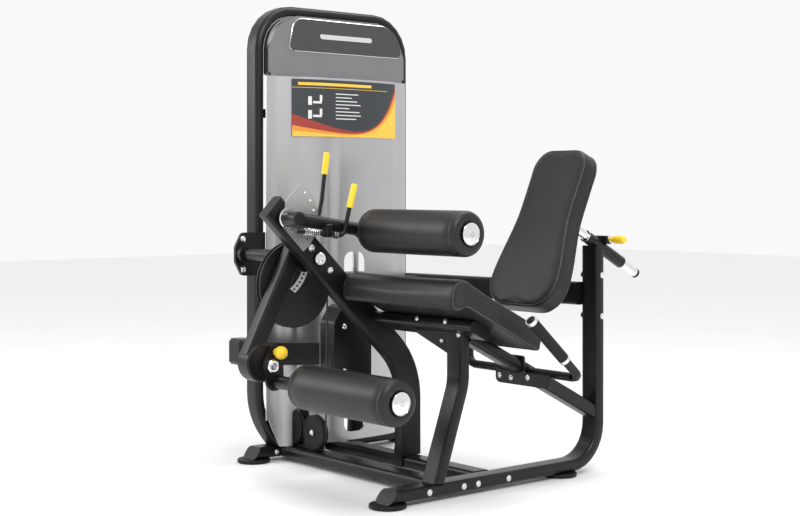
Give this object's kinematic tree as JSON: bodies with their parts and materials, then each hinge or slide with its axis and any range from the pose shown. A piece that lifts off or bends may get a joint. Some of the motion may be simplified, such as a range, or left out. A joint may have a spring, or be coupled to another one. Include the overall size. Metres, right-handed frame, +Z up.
{
  "type": "leg extension machine",
  "caption": "Selectorised seated leg extension machine: shrouded weight tower, cam and leg lever with ankle roller, thigh hold-down, tilted seat, sliding backrest and hand grips.",
  "frame": {"origin": "middle of the overall footprint, on the floor", "axes": "+Z up; +X from the weight tower towards the seat; +Y from the foot end towards the backrest"},
  "size_m": [1.175, 1.3366, 1.596],
  "materials": {
    "painted_frame": "satin black powder coat",
    "upholstery": "fine-grained black vinyl",
    "rubber": "matt black",
    "silver_moulding": "satin silver",
    "chrome": "bright",
    "steel": "zinc plated",
    "iron": "black painted",
    "yellow_plastic": "moulded",
    "cable": "black coated"
  },
  "bodies": {
    "frame": {"tower_loop": "painted_frame", "tower_base_tube": "painted_frame", "front_floor_beam": "painted_frame", "rear_floor_beam": "painted_frame", "rail_and_post": "painted_frame", "arched_frame": "painted_frame", "front_post": "painted_frame", "seat_cross_tube": "painted_frame", "seat_incline_rail": "painted_frame", "handle_mount_plate": "painted_frame", "seat_stub_tube": "painted_frame", "rear_upper_beam": "painted_frame", "knee_bearing_flange": "painted_frame", "head_cover": "silver_moulding", "front_shroud": "silver_moulding", "guide_rod_front": "chrome", "guide_rod_rear": "chrome", "guide_rod_crosshead": "painted_frame", "stack_bumper_front": "rubber", "stack_bumper_rear": "rubber", "resting_plates": "iron", "selector_lanyard": "cable", "lift_cable": "cable", "floor_pulley_bracket": "steel", "foot_tower_front": "rubber", "foot_tower_rear": "rubber", "foot_rail_front": "rubber", "foot_rail_rear": "rubber", "thigh_index_plate": "steel", "seat_pad": "upholstery", "handle_bar": "painted_frame", "left_hand_grip": "rubber", "right_hand_grip": "rubber", "backrest_sleeve": "painted_frame", "belt_guard_band": "painted_frame", "belt_guard_box": "painted_frame"},
    "cam": {"knee_shaft": "steel", "cam_disc": "iron"},
    "lever": {"leg_lever": "painted_frame", "crank_bolt": "chrome"},
    "start_release": {"start_release_rod": "painted_frame", "start_release_grip": "yellow_plastic"},
    "crank": {"roller_crank": "painted_frame", "ankle_roller_cap": "chrome"},
    "crank_pin": {"roller_pin": "yellow_plastic"},
    "ankle_pad": {"ankle_roller": "upholstery"},
    "thigh_holder": {"thigh_arm": "painted_frame", "thigh_roller_cap": "chrome"},
    "thigh_release": {"thigh_release_rod": "painted_frame", "thigh_release_grip": "yellow_plastic"},
    "thigh_pad": {"thigh_roller": "upholstery"},
    "back_support": {"backrest_slide": "chrome", "backrest_pad": "upholstery"},
    "back_pin": {"backrest_pin": "yellow_plastic"},
    "lifted_stack": {"lifting_head": "iron", "lifted_plates": "iron"},
    "stack_pin": {"selector_pin": "yellow_plastic"},
    "upper_wheel": {"top_pulley": "rubber"},
    "outer_wheel": {"floor_pulley_outer": "rubber"},
    "inner_wheel": {"floor_pulley_inner": "rubber"}
  },
  "joints": [
    {"name": "knee_cam_turn", "type": "hinge", "parent": "frame", "child": "cam", "pos_m": [-0.08, -0.4383, 0.7275], "axis": [-1, 0, 0], "range_deg": [0, 75]},
    {"name": "start_position", "type": "hinge", "parent": "cam", "child": "lever", "pos_m": [-0.1505, -0.4383, 0.7275], "axis": [-1, 0, 0], "range_deg": [-30, 45]},
    {"name": "start_release_pull", "type": "hinge", "parent": "lever", "child": "start_release", "pos_m": [-0.1405, -0.4023, 0.795], "axis": [-1, 0, 0], "range_deg": [0, 12], "stiffness_Nm_per_rad": 6, "springref_deg": -17.19},
    {"name": "roller_crank_turn", "type": "hinge", "parent": "lever", "child": "crank", "pos_m": [-0.1192, -0.5843, 0.391], "axis": [1, 0, 0], "range_deg": [-35, 35]},
    {"name": "crank_pin_pull", "type": "slide", "parent": "crank", "child": "crank_pin", "axis": [1, 0, 0], "range_m": [0, 0.012], "stiffness_N_per_m": 800, "springref_m": -0.01},
    {"name": "ankle_pad_spin", "type": "hinge", "parent": "crank", "child": "ankle_pad", "pos_m": [0.0325, -0.5653, 0.34], "axis": [1, 0, 0], "continuous": true},
    {"name": "thigh_arm_turn", "type": "hinge", "parent": "frame", "child": "thigh_holder", "pos_m": [-0.0505, -0.5712, 0.859], "axis": [1, 0, 0], "range_deg": [-8, 75]},
    {"name": "thigh_release_pull", "type": "slide", "parent": "thigh_holder", "child": "thigh_release", "axis": [0, 0.9939, -0.1101], "range_m": [0, 0.012], "stiffness_N_per_m": 800, "springref_m": -0.01},
    {"name": "thigh_pad_spin", "type": "hinge", "parent": "thigh_holder", "child": "thigh_pad", "pos_m": [0.0325, -0.2943, 0.817], "axis": [1, 0, 0], "continuous": true},
    {"name": "backrest_travel", "type": "slide", "parent": "frame", "child": "back_support", "axis": [0, -0.8829, 0.4695], "range_m": [-0.015, 0.06]},
    {"name": "backrest_pin_pull", "type": "slide", "parent": "frame", "child": "back_pin", "axis": [1, 0, 0], "range_m": [0, 0.012], "stiffness_N_per_m": 800, "springref_m": -0.01},
    {"name": "stack_lift", "type": "slide", "parent": "frame", "child": "lifted_stack", "axis": [0, 0, 1], "range_m": [0, 0.135], "deforming": ["lift_cable", "selector_lanyard"]},
    {"name": "selector_pull", "type": "slide", "parent": "lifted_stack", "child": "stack_pin", "axis": [1, 0, 0], "range_m": [0, 0.045]},
    {"name": "top_pulley_spin", "type": "hinge", "parent": "frame", "child": "upper_wheel", "pos_m": [-0.5305, -0.14005, 1.34], "axis": [1, 0, 0], "range_deg": [0, 90]},
    {"name": "outer_pulley_spin", "type": "hinge", "parent": "frame", "child": "outer_wheel", "pos_m": [-0.3355, -0.2433, 0.1143], "axis": [0, -1, 0], "range_deg": [0, 150]},
    {"name": "inner_pulley_spin", "type": "hinge", "parent": "frame", "child": "inner_wheel", "pos_m": [-0.4655, -0.2433, 0.1143], "axis": [0, -1, 0], "range_deg": [0, 150]}
  ],
  "couplings": [
    {"joint": "stack_lift", "follows": "knee_cam_turn", "m_per_rad": 0.1},
    {"joint": "top_pulley_spin", "follows": "knee_cam_turn", "ratio": 0.97},
    {"joint": "outer_pulley_spin", "follows": "knee_cam_turn", "ratio": 1.74},
    {"joint": "inner_pulley_spin", "follows": "knee_cam_turn", "ratio": 1.74}
  ]
}
